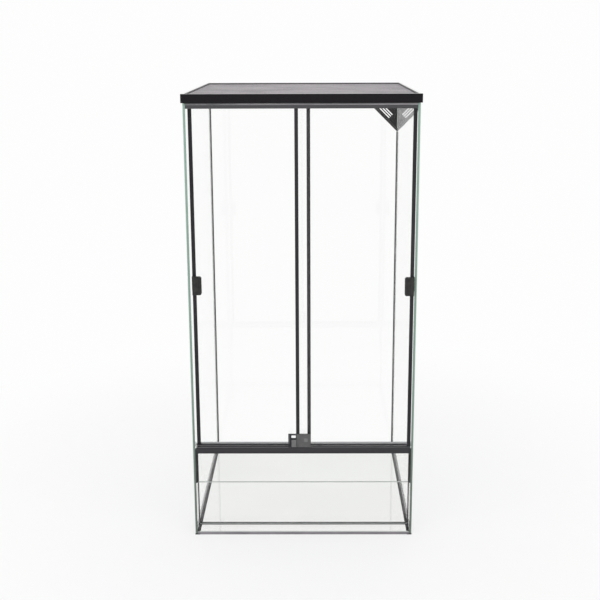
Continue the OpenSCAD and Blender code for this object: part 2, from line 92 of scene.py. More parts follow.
CAD_BOX = [list(corner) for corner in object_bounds()]
MM = 0.001
WELD = 1e-6  # corners nearer than this, in metres, are one corner
SLANT = 1e-5  # a side that runs off both axes by more than this is slanted
FLAT = math.radians(1)
SHARP = math.radians(30)
SMOOTH = math.radians(50)
FACES_UP = 0.7  # least upright share of the normal of a face that faces up
FACES_FRONT = -0.5
PATCHES = (0.35, 0.65)  # part of the noise that is spread into soft patches

BEAD_GAP = 0.00003  # free space between a bead and the panes
BEAD_STEP = 0.009
BEAD_ARC = (0, 0.2, 0.4, 0.6, 0.8, 1)
BEAD_RIPPLES = 38  # ripples to the metre
BEAD_APART, LEG_APART = 3.1, 7.7  # keep the noise of beads and of their legs apart

SENSOR_WIDTH = 36
FLOOR_REACH = 9.0
GLOW_STARTS, GLOW_FULL = 0.45, 1.1  # distances from the middle, in metres


# ---- settings


def screen(red, green, blue):
    """A colour given as it shows on a screen, from 0 to 255, as Blender's linear numbers."""
    def linear(value):
        share = value / 255
        return share / 12.92 if share <= 0.04045 else ((share + 0.055) / 1.055) ** 2.4
    return (linear(red), linear(green), linear(blue))


def colour(label, text, default):
    return FloatVectorProperty(
        name=label, description=text, default=default, subtype="COLOR", min=0, max=1)


def paint(label, text, *on_screen):
    return colour(label, "Colour " + text, screen(*on_screen))


def number(label, text, default, **kind):
    return FloatProperty(name=label, description=text, default=default, **kind)


def length(label, text, default_mm, least_mm=0.0, most_mm=100.0):
    return number(label, text, default_mm * MM, min=least_mm * MM, max=most_mm * MM,
                  subtype="DISTANCE", unit="LENGTH", precision=5)


def share(label, text, default):
    return number(label, text, default, min=0, max=1, subtype="FACTOR")


class GlassSettings(PropertyGroup):
    arris: length("Arris", "Width of the polished arris round each pane", 0.9, 0.1, 1.5)
    joint: length("Joint", "Free space round the edge of each pane", 0.05, 0.01, 0.2)
    tint: colour("Tint", "Colour that light takes on through one pane", (0.994, 0.996, 0.993))
    tint_deep: colour("Deep tint", "Tint where the glass is a little denser",
                      (0.990, 0.994, 0.990))
    index: number("Index", "How much the panes bend and mirror light; plain float glass has "
                  "1.5", 1.3, min=1, max=2)
    # The floor tint is painted shade: it darkens the floor seen through the floor pane, where the
    # tank shades it.
    floor_shade_tint: colour("Floor tint", "Colour that light takes on through the floor pane",
                       (0.87, 0.875, 0.86))
    # The upper and lower edge colours are painted light and painted shade: paler high up, darker
    # and greyer low down.
    edge_top_light: paint("Upper edge", "of a cut edge high up", 146, 176, 162)
    edge_middle: paint("Middle edge", "of a cut edge half way up", 130, 158, 144)
    edge_foot_shade: paint("Lower edge", "of a cut edge low down", 96, 103, 97)
    edge_light: paint("Edge streaks", "of the paler streaks in a cut edge", 172, 196, 183)
    # The pale arris colour is a painted highlight, where the polished arris catches the light.
    arris_highlight: paint("Arris colour", "of the pale arris on the tank's outside", 222, 232, 226)
    # The pale polished-edge colour is a painted reflection of light within the edge.
    edge_front_reflection: paint("Front pane edge", "of the front panes' polished edges", 206, 211, 208)


class SealantSettings(PropertyGroup):
    black: paint("Silicone", "of the cured silicone", 46, 44, 46)
    bloom: paint("Bloom", "where the silicone has dulled", 66, 64, 66)
    rubber: paint("Base rubber", "of the strips under the glass", 40, 39, 40)
    slim: share("Slim bead", "Leg of the right floor bead as a share of the left one", 0.6)
    rear_leg: length("Rear bead", "Leg of the bead along the rear of the floor", 1.5, 0.5, 3)
    foot_reach: length("Foot reach", "Reach over the floor of the bead before the inner pane",
                       2.4, 1, 4)
    foot_rise: length("Foot rise", "Height of the bead behind the inner pane", 3.2, 1, 4)
    foot_thin: length("Foot thinness", "Other leg of those two beads", 1.0, 0.5, 2)
    edging: paint("Edging", "of the strip on the floor's front edge", 148, 144, 150)
    ripple: share("Ripple", "How much the width of a hand-run bead varies", 0.12)
    hollow: share("Hollow", "How far a tooled bead is hollow, as a share of its leg", 0.14)


class RailSettings(PropertyGroup):
    black: paint("Rail", "of the bottom rail", 44, 43, 47)
    worn: paint("Rail streaks", "of the drawn streaks in the rail", 56, 55, 59)
    top: paint("Top rail", "of the top rail", 76, 75, 78)
    top_worn: paint("Top rail streaks", "of its drawn streaks", 90, 89, 92)
    # The ledge colour is painted light, on the rail's faces that face up.
    ledge_light: paint("Ledge", "of the bottom rail's upper faces", 146, 145, 148)
    # The nose colour is a painted highlight along the top rail's upper front, nose_height high.
    nose_highlight: paint("Nose", "of the nose along the top rail", 176, 174, 177)
    nose_height: length("Nose height", "Height of the nose along the top rail", 3.5, 1, 6)
    vent: paint("Vent strip", "of the perforated strip", 178, 180, 182)
    ease: length("Eased edge", "Rounding of the rails' edges", 0.35, 0.05, 0.8)


class DoorSettings(PropertyGroup):
    seal: paint("Seal", "of the door seals", 38, 37, 40)
    seal_dull: paint("Dull seal", "of the seals where they have dulled", 52, 50, 54)
    glide: paint("Glide", "of the glides under the doors", 58, 58, 60)
    grip: paint("Grip", "of the grips", 40, 41, 40)
    grip_worn: paint("Worn grip", "of the grips where hands rub them", 56, 57, 55)
    pad: paint("Pad", "of the adhesive pads", 70, 70, 70)
    seal_ease: length("Seal rounding", "Rounding of the seals' edges", 0.25, 0.05, 0.5)
    grip_corner: length("Grip corners", "Corner radius on a grip's inner side", 3.5, 0.5, 5)
    grip_fillet: length("Grip rounding", "Rounding round a grip's face", 1.4, 0.2, 3)
    groove_depth: length("Groove depth", "Depth of the finger groove", 2.0, 0.2, 3)
    groove_radius: length("Groove radius", "Radius of the finger groove", 4.4, 2, 6)
    groove_middle: length("Groove middle", "From the door's edge to the groove", 10.8, 5, 15)
    rib_height: length("Rib height", "Height of the ribs in the groove", 0.3, 0, 1)
    rib_pitch: length("Rib pitch", "Distance from one rib to the next", 2.6, 1, 6)
    lip: length("Lip", "Thickness of the lip on the door's edge", 0.6, 0.2, 0.8)
    lip_height: length("Lip height", "Height of the lip from the grip's top", 28, 10, 37)


class LockSettings(PropertyGroup):
    plate: paint("Plate", "of the lock plate", 101, 101, 101)
    core: paint("Core", "of the square core face", 124, 124, 124)
    arm: paint("Arm", "of the arm's outer post", 84, 84, 88)
    # The dark colour is partly the arm's own darker colour and partly painted shade on its
    # set-back parts.
    dark_and_shade: paint("Dark parts", "of the arm's inner parts", 56, 56, 60)
    bolt: paint("Push bolt", "of the push bolt's head", 122, 122, 122)
    ease: length("Eased edge", "Rounding of the lock's edges", 0.35, 0.05, 1)
    arm_width: length("Arm width", "Width of the arm beside the plate", 16.5, 10, 25)
    post_width: length("Post width", "Width of the arm's post", 6.5, 3, 10)
    bar_height: length("Bar height", "Height of the bars over and under the eye", 2.7, 1, 5)
    eye_height: length("Eye height", "Height of the padlock eye", 6.5, 3, 10)
    plate_depth: length("Plate depth", "Thickness of the plate", 4, 2, 6)
    crown: length("Crown", "How far the push bolt's face is crowned", 1.1, 0, 1.4)
    core_size: length("Core size", "Side of the square core face", 7.4, 3, 12)


class LidSettings(PropertyGroup):
    frame_black: paint("Frame", "of the lid frame", 22, 20, 23)
    frame_light: paint("Frame flecks", "of the coat's flecks", 30, 28, 32)
    frame_top: paint("Frame top", "of the frame's polished upper face", 32, 30, 33)
    wire: paint("Wire", "of the mesh wire", 181, 177, 180)
    wire_dull: paint("Dull wire", "of the wire where it has dulled", 161, 157, 161)
    cord: paint("Cord", "of the cord that holds the mesh", 108, 106, 108)
    ease: length("Eased edge", "Rounding of the frame's edges", 0.5, 0.05, 1)
    wire_pitch: length("Wire pitch", "Distance from one wire to the next", 2.0, 1, 6)
    wire_sides: IntProperty(name="Wire sides", description="Flat sides round one wire",
                            default=6, min=3, max=16)
    cover: paint("Cable cover", "of the cable cover", 14, 14, 16)
    cover_worn: paint("Worn cover", "of the cover's scuffs", 24, 24, 26)
    cover_ease: length("Cover rounding", "Rounding of the cover's edges", 0.3, 0.05, 0.6)


class StudioSettings(PropertyGroup):
    backdrop: colour("Backdrop", "Colour of the room behind the terrarium",
                     (0.985, 0.985, 0.985))
    floor: colour("Floor", "Colour of the floor", (0.93, 0.93, 0.93))
    floor_glow: share("Floor glow", "How much of the floor shows as backdrop", 0.62)
    room_light: number("Room light", "Even light from all round", 0.5, min=0, max=2)
    lamp_power: number("Lamp power", "Power of the large front lamps", 30.0, min=0,
                       max=1000, unit="POWER")
    top_power: number("Top power", "Power of the lamp overhead", 34.0, min=0, max=1000,
                      unit="POWER")
    camera_at: FloatVectorProperty(
        name="Camera", description="Where the camera stands", subtype="TRANSLATION",
        unit="LENGTH", default=(0.021139, -2.041205, 1.009011))
    camera_yaw: number("Yaw", "Turn to the right", -0.0047, subtype="ANGLE")
    camera_pitch: number("Pitch", "Tilt downwards", 0.2180, subtype="ANGLE")
    camera_roll: number("Roll", "Lean of the picture", -0.0028, subtype="ANGLE")
    lens: number("Lens", "Focal length on a 36 mm sensor", 57.378, min=10, max=200,
                 unit="CAMERA")
    shift_x: number("Shift X", "Sideways shift of the lens", -0.01444)
    shift_y: number("Shift Y", "Upright shift of the lens", -0.08333)


# ---- shader recipes


class Wire:
    """A socket that sums can be written on; each operator adds one Math node."""

    def __init__(self, recipe, socket):
        self.recipe = recipe
        self.socket = socket

    def __add__(self, other):
        return self.recipe.sum("ADD", self, other)

    def __radd__(self, other):
        return self.recipe.sum("ADD", other, self)

    def __sub__(self, other):
        return self.recipe.sum("SUBTRACT", self, other)

    def __mul__(self, other):
        return self.recipe.sum("MULTIPLY", self, other)


class Recipe:
    """The node tree of one finish, or of the room."""

    def __init__(self, owner):
        owner.use_nodes = True
        self.owner = owner
        self.tree = owner.node_tree
        self.tree.nodes.clear()

    def node(self, kind, settings=None, sockets=None, output=0):
        """Add a node: its settings first, then a value or a link for each socket."""
        made = self.tree.nodes.new(kind)
        for name, value in (settings or {}).items():
            setattr(made, name, value)
        for key, value in (sockets or {}).items():
            if isinstance(value, Wire):
                self.tree.links.new(value.socket, made.inputs[key])
            else:
                made.inputs[key].default_value = value
        return Wire(self, made.outputs[output]) if made.outputs else made

    def sum(self, operation, *terms):
        return self.node("ShaderNodeMath", {"operation": operation}, dict(enumerate(terms)))

    def place(self, stretch=(1, 1, 1)):
        """Where a point of the piece is, in metres, stretched along each axis."""
        spot = self.node("ShaderNodeTexCoord", output="Object")
        return self.node("ShaderNodeVectorMath", {"operation": "MULTIPLY"},
                         {0: spot, 1: stretch})

    def speckle(self, per_metre, detail=2.0, stretch=(1, 1, 1)):
        """Soft noise from 0 to 1, with so many features to the metre."""
        return self.node("ShaderNodeTexNoise", None, {
            "Vector": self.place(stretch), "Scale": per_metre, "Detail": detail}, "Fac")

    def spread(self, value, low, high):
        """Stretch the part of value from low to high over 0 to 1, smoothly."""
        return self.node("ShaderNodeMapRange", {"interpolation_type": "SMOOTHSTEP"}, {
            "Value": value, "From Min": low, "From Max": high})

    def blend(self, part, first, second):
        """From the first colour to the second as part goes from 0 to 1."""
        return self.node("ShaderNodeMix", {"data_type": "RGBA"}, {
            0: part, 6: rgba(first), 7: rgba(second)}, 2)

    def bump(self, height, depth):
        return self.node("ShaderNodeBump", None, {
            "Strength": 1.0, "Distance": depth, "Height": height})

    def principled(self, **sockets):
        named = {name.replace("_", " "): value for name, value in sockets.items()}
        return self.node("ShaderNodeBsdfPrincipled", None, named)

    def finished(self, surface, kind="ShaderNodeOutputMaterial"):
        self.node(kind, None, {"Surface": surface})
        return self.owner


def rgba(value):
    return value if isinstance(value, Wire) else (*tuple(value)[:3], 1.0)


def toned(tone, part):
    """A colour of which only a part of the light is left."""
    return tuple(part * c for c in tone)


def finish(name):
    return Recipe(bpy.data.materials.new(name))


def seen_rays(recipe):
    """1 for rays that end in what a person sees: straight, mirrored or through glass."""
    def ray(kind):
        return recipe.node("ShaderNodeLightPath", output=kind)
    return ray("Is Camera Ray") + ray("Is Glossy Ray") + ray("Is Transmission Ray")


def clear_glass(name, settings, tint, deep):
    """Float glass, which lets lamp light straight through."""
    recipe = finish(name)
    density = recipe.spread(recipe.speckle(5.0, 1.0), *PATCHES)
    glass = recipe.principled(
        Base_Color=recipe.blend(density, tint, deep), Roughness=0.0,
        IOR=settings.index, Transmission_Weight=1.0)
    open_way = recipe.node("ShaderNodeBsdfTransparent", None, {"Color": (0.95, 0.97, 0.96, 1)})
    lamp_ray = recipe.node("ShaderNodeLightPath", output="Is Shadow Ray")
    return recipe.finished(recipe.node(
        "ShaderNodeMixShader", None, {0: lamp_ray, 1: glass, 2: open_way}))


def cut_edge(name, settings, height):
    """Cut edge of a pane: green, with painted light that makes it paler towards the top and
    painted shade that makes it darker and greyer towards the foot, and fine grinding streaks.
    """
    recipe = finish(name)
    spot = recipe.place()
    upright = recipe.node("ShaderNodeSeparateXYZ", None, {0: spot}, 2)
    foot_ends, top_starts = 0.45 * height, 0.5 * height
    # Painted shade towards the foot, painted light towards the top.
    lower = recipe.blend(recipe.spread(upright, 0, foot_ends), settings.edge_foot_shade,
                         settings.edge_middle)
    tone = recipe.blend(recipe.spread(upright, top_starts, height), lower,
                        settings.edge_top_light)
    streak = recipe.speckle(900.0, 3.0, (1, 1, 0.02))
    patch = recipe.speckle(40.0, 2.0)
    pale = recipe.spread(streak * 0.6 + patch * 0.4, 0.45, 0.75)
    return recipe.finished(recipe.principled(
        Base_Color=recipe.blend(pale * 0.35, tone, settings.edge_light),
        Roughness=0.22 + streak * 0.2, IOR=1.5,
        Normal=recipe.bump(streak, 0.00003)))


def grained(name, first, second, *, rough, sway=0.1, patch=30.0, grain=1500.0,
            depth=0.00002, stretch=(1, 1, 1), metallic=0.0, specular=0.25, coat=0.0):
    """A satin surface: two close tones in soft patches under a fine grain.

    The second tone may be a number, for the first tone with that part of its light.
    """
    if isinstance(second, float):
        second = toned(first, second)
    recipe = finish(name)
    fine = recipe.speckle(grain, 3.0, stretch)
    patches = recipe.spread(
        recipe.speckle(patch, 3.0, stretch) * 0.7 + fine * 0.3, *PATCHES)
    return recipe.finished(recipe.principled(
        Base_Color=recipe.blend(patches, first, second),
        Roughness=rough + (fine - 0.5) * sway,
        Metallic=metallic, Specular_IOR_Level=specular, Coat_Weight=coat,
        Normal=recipe.bump(fine, depth)))


# ---- shapes and pieces


def add_piece(name, bm, node, finishes, smooth=True):
    """Turn a bmesh into a piece that stands for a CAD node, on its body."""
    body = frame["nodes"][node]["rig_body"]
    slot = next(part["material_slot"] for part in frame["record"]["subparts"]
                if part["node"] == node)
    if not bm.faces:
        raise RuntimeError(f"{name} came out empty")
    bmesh.ops.recalc_face_normals(bm, faces=bm.faces)
    mesh = bpy.data.meshes.new(name)
    bm.to_mesh(mesh)
    bm.free()
    for made in finishes:
        mesh.materials.append(made)
    piece = bpy.data.objects.new(name, mesh)
    bpy.context.scene.collection.objects.link(piece)
    if smooth:
        mesh.shade_smooth()
        mesh.set_sharp_from_angle(angle=SMOOTH)
        level = piece.modifiers.new("even_shading", "WEIGHTED_NORMAL")
        level.keep_sharp = True
    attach(piece, body)
    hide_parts(node)
    return piece


def dress(made, *nodes):
    """Give CAD nodes a finish."""
    for node in nodes:
        for slot in frame["nodes"][node].material_slots:
            slot.material = made


def ease_edges(bm, edges, width, steps=2):
    bmesh.ops.bevel(bm, geom=edges, offset=width, segments=steps, profile=0.5,
                    affect="EDGES", clamp_overlap=True)


def eased_copy(node, width, made, behind=None):
    """A piece of a CAD node's shape, whose sharp edges are slightly rounded.

    With behind, only the edges that lie behind that depth are rounded.
    """
    bm = bmesh.new()
    bm.from_mesh(frame["nodes"][node].data)
    bmesh.ops.remove_doubles(bm, verts=bm.verts, dist=WELD)
    bmesh.ops.dissolve_limit(bm, angle_limit=FLAT, verts=bm.verts, edges=bm.edges)
    sharp = [e for e in bm.edges
             if len(e.link_faces) == 2 and e.calc_face_angle() > SHARP
             and (behind is None or min(v.co.y for v in e.verts) > behind)]
    ease_edges(bm, sharp, width)
    # Split here, so that corners in one line leave no faces without area
    bmesh.ops.triangulate(bm, faces=[f for f in bm.faces if len(f.verts) > 4],
                          ngon_method="BEAUTY")
    return add_piece(node + "_eased", bm, node, [made])


def repaint(piece, made, test):
    """Give the faces of a piece whose centre and normal pass a test another finish."""
    piece.data.materials.append(made)
    last = len(piece.data.materials) - 1
    for face in piece.data.polygons:
        if test(face.center, face.normal):
            face.material_index = last


def faces_up(centre, normal):
    return normal.z > FACES_UP


def join_rings(bm, lower, upper):
    """Join two rings of corners all the way round; their faces, in order."""
    made = []
    for i in range(len(lower)):
        j = (i + 1) % len(lower)
        made.append(bm.faces.new((lower[i], lower[j], upper[j], upper[i])))
    return made


def skin(bm, rings):
    """Join rings one after another and close the ends; the two end faces."""
    for lower, upper in zip(rings, rings[1:]):
        join_rings(bm, lower, upper)
    return [bm.faces.new(rings[0]), bm.faces.new(rings[-1])]


def eased_box(bm, low, high, width, finish_index=0, steps=2):
    """Add a box with rounded edges between two corners."""
    cube = bmesh.ops.create_cube(bm, size=1.0)["verts"]
    for vert in cube:
        vert.co = Vector(low[i] + (vert.co[i] + 0.5) * (high[i] - low[i]) for i in range(3))
    old = set(bm.faces)
    first = {face for vert in cube for face in vert.link_faces}
    ease_edges(bm, list({e for vert in cube for e in vert.link_edges}), width, steps)
    for face in (f for f in bm.faces if f not in old or f in first):
        face.material_index = finish_index


def hull(points):
    """Corners of the outline round points in a plane, anticlockwise."""
    points = sorted({(round(u, 6), round(v, 6)) for u, v in points})
    def half(run):
        kept = []
        for p in run:
            while len(kept) > 1 and turn(kept[-2], kept[-1], p) <= 1e-10:
                kept.pop()
            kept.append(p)
        return kept[:-1]
    return half(points) + half(reversed(points))


def turn(a, b, c):
    return (b[0] - a[0]) * (c[1] - a[1]) - (b[1] - a[1]) * (c[0] - a[0])


def inset(outline, gap):
    """A smaller outline, gap inside an anticlockwise one with straight sides."""
    sides = []
    for a, b in zip(outline, outline[1:] + outline[:1]):
        run = math.hypot(b[0] - a[0], b[1] - a[1])
        normal = ((b[1] - a[1]) / run, (a[0] - b[0]) / run)
        sides.append((normal, normal[0] * a[0] + normal[1] * a[1] - gap))
    made = []
    for (m, d), (n, e) in zip(sides[-1:] + sides[:-1], sides):
        cross = m[0] * n[1] - m[1] * n[0]
        made.append(((d * n[1] - e * m[1]) / cross, (m[0] * e - n[0] * d) / cross))
    return made


def glued_side(a, b, glued):
    """True if an outline's side faces one of the glued ways, such as ("low", 0).

    A slanted side faces the cable port, whose edge is blackened too.
    """
    out = (b[1] - a[1], a[0] - b[0])
    axis = 0 if abs(out[0]) > abs(out[1]) else 1
    if min(abs(out[0]), abs(out[1])) > SLANT:
        return True
    return ("high" if out[axis] > 0 else "low", axis) in glued


def add_pane(node, glued, finishes, settings, arris_highlight_band=None):
    """Cut a pane to its CAD node's outline, with its arrises.

    finishes are those of the faces, the cut edges, the glued edges and the pale arris,
    a painted highlight, which is band 0 (on the pane's lower side) or 2 (on its upper side).
    """
    low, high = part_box(node)
    across = min(range(3), key=lambda i: high[i] - low[i])
    u, v = [i for i in range(3) if i != across]
    corners = [vert.co for vert in frame["nodes"][node].data.vertices]
    outline = inset(hull([(c[u], c[v]) for c in corners]), settings.joint)
    inner = inset(outline, settings.arris)
    bm = bmesh.new()

    def ring(points, at):
        made = []
        for p in points:
            spot = [0.0, 0.0, 0.0]
            spot[u], spot[v], spot[across] = p[0], p[1], at
            made.append(bm.verts.new(spot))
        return made

    rings = [ring(inner, low[across]), ring(outline, low[across] + settings.arris),
             ring(outline, high[across] - settings.arris), ring(inner, high[across])]
    bm.faces.new(rings[0])
    bm.faces.new(rings[-1])
    face_ends = list(zip(outline, outline[1:] + outline[:1]))
    for band, (lower, upper) in enumerate(zip(rings, rings[1:])):
        for side, (start, end) in zip(join_rings(bm, lower, upper), face_ends):
            if glued_side(start, end, glued):
                side.material_index = 2
            else:
                side.material_index = 3 if band == arris_highlight_band else 1
    add_piece(node + "_cut", bm, node, finishes, smooth=False)


def run_bead(bm, start, along, leg_a, leg_b, length_m, leg, settings, seed):
    """Add a hollow-faced bead that a hand has run along a corner."""
    start, along, leg_a, leg_b = (Vector(x) for x in (start, along, leg_a, leg_b))
    start = start + (leg_a + leg_b) * BEAD_GAP
    steps = max(3, int(length_m / BEAD_STEP))
    rings = []
    for i in range(steps + 1):
        at = length_m * i / steps
        def side(k):
            wave = noise.noise(Vector((at * BEAD_RIPPLES, seed * BEAD_APART,
                                       k * LEG_APART)))
            return leg * (1 - settings.ripple * (0.5 + 0.5 * wave))
        a, b = leg_a * side(0), leg_b * side(1)
        spots = [Vector()]
        for t in BEAD_ARC:
            pull = 1 - settings.hollow * 2 * math.sin(math.pi * t)
            spots.append((a * (1 - t) + b * t) * pull)
        rings.append([bm.verts.new(start + along * at + s) for s in spots])
    skin(bm, rings)


# ---- operators


class TERRARIUM_OT_fixed_panes(Operator):
    """Cut the six fixed panes, grind their edges and blacken the glued ones"""

    bl_idname = "terrarium.fixed_panes"
    bl_label = "Fixed panes"

    def execute(self, context):
        settings = context.scene.terrarium_glass
        sealant = context.scene.terrarium_sealant
        clear = clear_glass("tank_glass", settings, settings.tint, settings.tint_deep)
        # Painted shade: the floor pane's grey tint stands in for the tank's shadow on the floor
        # beneath.
        floor = clear_glass("floor_glass_shade", settings, settings.floor_shade_tint,
                            toned(settings.floor_shade_tint, 0.98))
        edge = cut_edge("tank_glass_edge", settings, CAD_BOX[1][2])
        # Painted reflection: the polished edges are pale instead of green.
        front_edge_reflection = grained("front_glass_edge_reflection", settings.edge_front_reflection, 0.94, rough=0.2)
        # The pale arris is a painted highlight.
        arris = grained("glass_arris_highlight", settings.arris_highlight, 0.94, rough=0.2)
        seam = grained("seam_silicone", sealant.black, sealant.bloom, rough=0.4)
        sides = {("low", 0), ("high", 0)}
        for node, glued, face, cut, band in (
                ("left_pane", set(), clear, edge, 0), ("right_pane", set(), clear, edge, 2),
                ("rear_pane", sides, clear, edge, None),
                ("floor_pane", sides | {("high", 1)}, floor, front_edge_reflection, None),
                ("inner_front_pane", sides, clear, front_edge_reflection, None),
                ("outer_front_pane", sides, clear, front_edge_reflection, None)):
            add_pane(node, glued, [face, cut, seam, arris], settings, band)
        return {"FINISHED"}


class TERRARIUM_OT_door_panes(Operator):
    """Cut the glass of the two sliding doors"""

    bl_idname = "terrarium.door_panes"
    bl_label = "Door panes"

    def execute(self, context):
        settings = context.scene.terrarium_glass
        finishes = [clear_glass("door_glass", settings, settings.tint, settings.tint_deep),
                    cut_edge("door_glass_edge", settings, CAD_BOX[1][2])]
        for node in ("left_door_glass", "right_door_glass"):
            add_pane(node, set(), finishes, settings)
        return {"FINISHED"}


class TERRARIUM_OT_sealant(Operator):
    """Run the silicone beads that hold the panes together"""

    bl_idname = "terrarium.sealant"
    bl_label = "Silicone"

    def execute(self, context):
        settings = context.scene.terrarium_sealant
        made = grained("silicone", settings.black, settings.bloom, rough=0.38, sway=0.15,
                       patch=60.0, grain=420.0, depth=0.00008, specular=0.3)
        dress(made, "outer_front_silicone")
        self.corners(settings, made)
        self.floor(settings, made)
        self.inner_pane(settings, made)
        return {"FINISHED"}

    def corners(self, settings, made):
        low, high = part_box("corner_silicone")
        rear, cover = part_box("rear_pane"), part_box("cable_cover")
        leg = high.y - low.y
        bm = bmesh.new()
        for seed, x, inward, top in ((1, rear[0].x, 1, high.z),
                                     (2, rear[1].x, -1, cover[0].z)):
            run_bead(bm, (x, rear[0].y, low.z), (0, 0, 1), (inward, 0, 0), (0, -1, 0),
                     top - low.z, leg, settings, seed)
        add_piece("corner_beads", bm, "corner_silicone", [made])

    def floor(self, settings, made):
        low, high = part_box("floor_silicone")
        rear_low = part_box("rear_pane")[0]
        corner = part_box("inner_front_silicone")
        leg = high.z - low.z
        bm = bmesh.new()
        for side, (x, inward, share_of) in enumerate((
                (low.x, 1, 1), (high.x, -1, settings.slim))):
            for seed, start, end in ((3, low.y, corner[0].y),
                                     (5, corner[1].y, rear_low.y)):
                run_bead(bm, (x, start, low.z), (0, 1, 0), (inward, 0, 0), (0, 0, 1),
                         end - start, share_of * leg, settings, seed + side)
        run_bead(bm, (low.x + leg, rear_low.y, low.z), (1, 0, 0), (0, -1, 0), (0, 0, 1),
                 high.x - low.x - 2 * leg, settings.rear_leg, settings, 7)
        add_piece("floor_beads", bm, "floor_silicone", [made])

    def inner_pane(self, settings, made):
        low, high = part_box("inner_front_silicone")
        pane_low, pane_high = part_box("inner_front_pane")
        bm = bmesh.new()
        for face, (y, out) in enumerate(((pane_low.y, -1), (pane_high.y, 1))):
            leg = abs((low.y if out < 0 else high.y) - y)
            reach, rise = ((settings.foot_reach, settings.foot_thin) if out < 0
                           else (settings.foot_thin, settings.foot_rise))
            run_bead(bm, (low.x + leg, y, low.z), (1, 0, 0), (0, out * reach / leg, 0),
                     (0, 0, rise / leg), high.x - low.x - 2 * leg, leg, settings, 8 + face)
            for side, (x, inward) in enumerate(((low.x, 1), (high.x, -1))):
                run_bead(bm, (x, y, low.z), (0, 0, 1), (inward, 0, 0), (0, out, 0),
                         high.z - low.z, leg, settings, 10 + 2 * face + side)
        add_piece("inner_pane_beads", bm, "inner_front_silicone", [made])


class TERRARIUM_OT_base(Operator):
    """Finish the rubber strips under the glass and the floor's front edging"""

    bl_idname = "terrarium.base"
    bl_label = "Base strips and edging"

    def execute(self, context):
        settings = context.scene.terrarium_sealant
        dress(grained("base_rubber", settings.rubber, settings.bloom, rough=0.75, sway=0.2,
                      patch=90.0, grain=1800.0, depth=0.00006, specular=0.15), "base_strips")
        dress(grained("floor_edging", settings.edging, 0.8, rough=0.4, sway=0.15,
                      patch=25.0, grain=900.0, depth=0.00003), "floor_edge_strip")
        return {"FINISHED"}


class TERRARIUM_OT_rails(Operator):
    """Draw the door rails and finish the perforated vent strip"""

    bl_idname = "terrarium.rails"
    bl_label = "Rails and vent strip"

    def execute(self, context):
        settings = context.scene.terrarium_rails
        drawn = dict(rough=0.42, sway=0.16, patch=160.0, grain=2600.0, depth=0.000012,
                     stretch=(0.015, 1, 1))
        bottom = eased_copy("bottom_rail", settings.ease, grained(
            "drawn_rail", settings.black, settings.worn, specular=0.3, **drawn))
        # Painted light: the bottom rail's upward faces are painted much paler than the rail.
        repaint(bottom, grained("rail_ledge_light", settings.ledge_light, 0.9, specular=0.3, **drawn),
                faces_up)
        top = eased_copy("top_rail", settings.ease, grained(
            "drawn_top_rail", settings.top, settings.top_worn, specular=0.2, **drawn))
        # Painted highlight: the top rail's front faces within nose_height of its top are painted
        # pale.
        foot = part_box("top_rail")[1].z - settings.nose_height - settings.ease
        repaint(top, grained("top_rail_nose_highlight", settings.nose_highlight, settings.top_worn,
                             specular=0.2, **drawn),
                lambda centre, normal: centre.z > foot and normal.y < FACES_FRONT)
        dress(grained("vent_metal", settings.vent, 0.8, rough=0.35, sway=0.2, patch=50.0,
                      grain=2200.0, depth=0.00001, stretch=(0.05, 1, 1), metallic=0.9),
              "vent_strip")
        return {"FINISHED"}


class TERRARIUM_OT_door_fittings(Operator):
    """Fit the seals, glides and adhesive pads of the doors"""

    bl_idname = "terrarium.door_fittings"
    bl_label = "Seals, glides and pads"

    def execute(self, context):
        settings = context.scene.terrarium_doors
        seal = grained("door_seal", settings.seal, settings.seal_dull, rough=0.5, sway=0.15,
                       patch=60.0, grain=1400.0, depth=0.00002, stretch=(1, 1, 0.05),
                       specular=0.2)
        for side in ("left", "right"):
            for place in ("outer", "inner"):
                eased_copy(f"{side}_door_{place}_seal", settings.seal_ease, seal)
        dress(grained("glide_plastic", settings.glide, 0.85, rough=0.55, grain=1200.0,
                      specular=0.4), "left_door_glides", "right_door_glides")
        dress(grained("foam_pad", settings.pad, 0.6, rough=0.9, grain=2600.0, depth=0.0001,
                      specular=0.05),
              "left_door_grip_pad", "right_door_grip_pad", "lock_pad")
        return {"FINISHED"}


